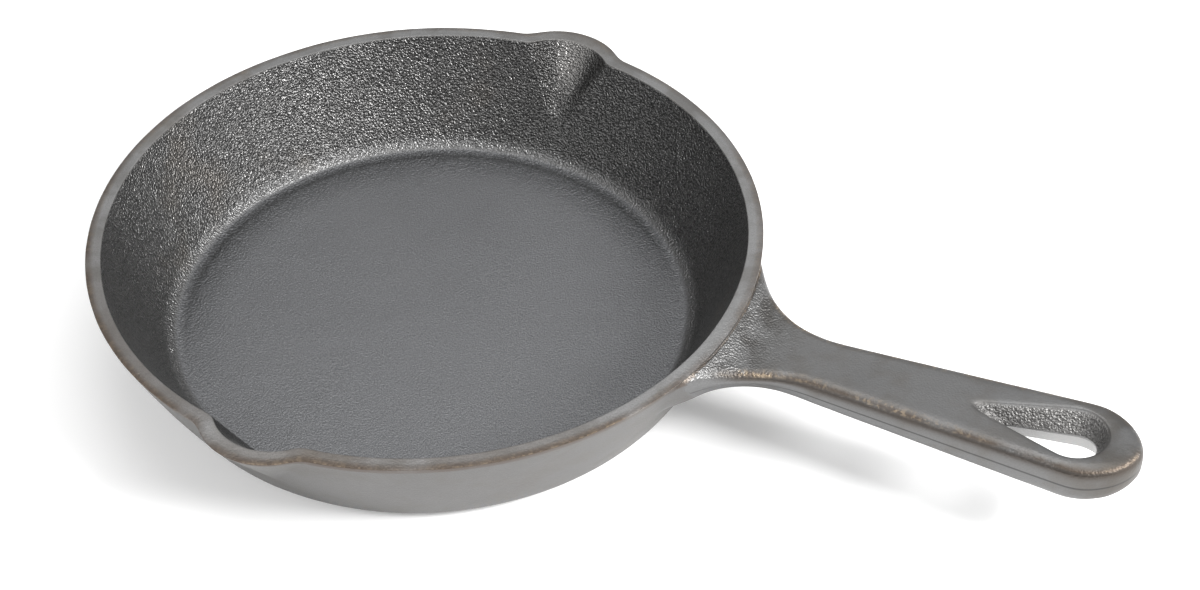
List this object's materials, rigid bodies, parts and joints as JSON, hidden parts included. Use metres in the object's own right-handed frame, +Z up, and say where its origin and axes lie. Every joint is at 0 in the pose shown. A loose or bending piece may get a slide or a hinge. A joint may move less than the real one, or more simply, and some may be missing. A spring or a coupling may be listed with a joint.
{
  "type": "cast iron skillet",
  "caption": "Shallow round cast iron frying pan with flared sides, a pouring spout on each side and a long handle pierced by a teardrop hanging hole.",
  "frame": {"origin": "centre of the flat base, on the plane that the pan stands on", "axes": "+Z up through the pan's axis, +X along the handle towards its tip, +Y and -Y through the two pouring spouts"},
  "size_m": [0.3177, 0.2126, 0.0378],
  "materials": {
    "floor_iron": "fine cast grain, smooth cooking floor",
    "wall_iron": "coarse sand-cast grain with a ground rim",
    "handle_iron": "satin cast grain with brown worn edges"
  },
  "bodies": {
    "root": {"cooking_floor": "floor_iron", "side_wall": "wall_iron", "handle": "handle_iron"}
  },
  "joints": []
}
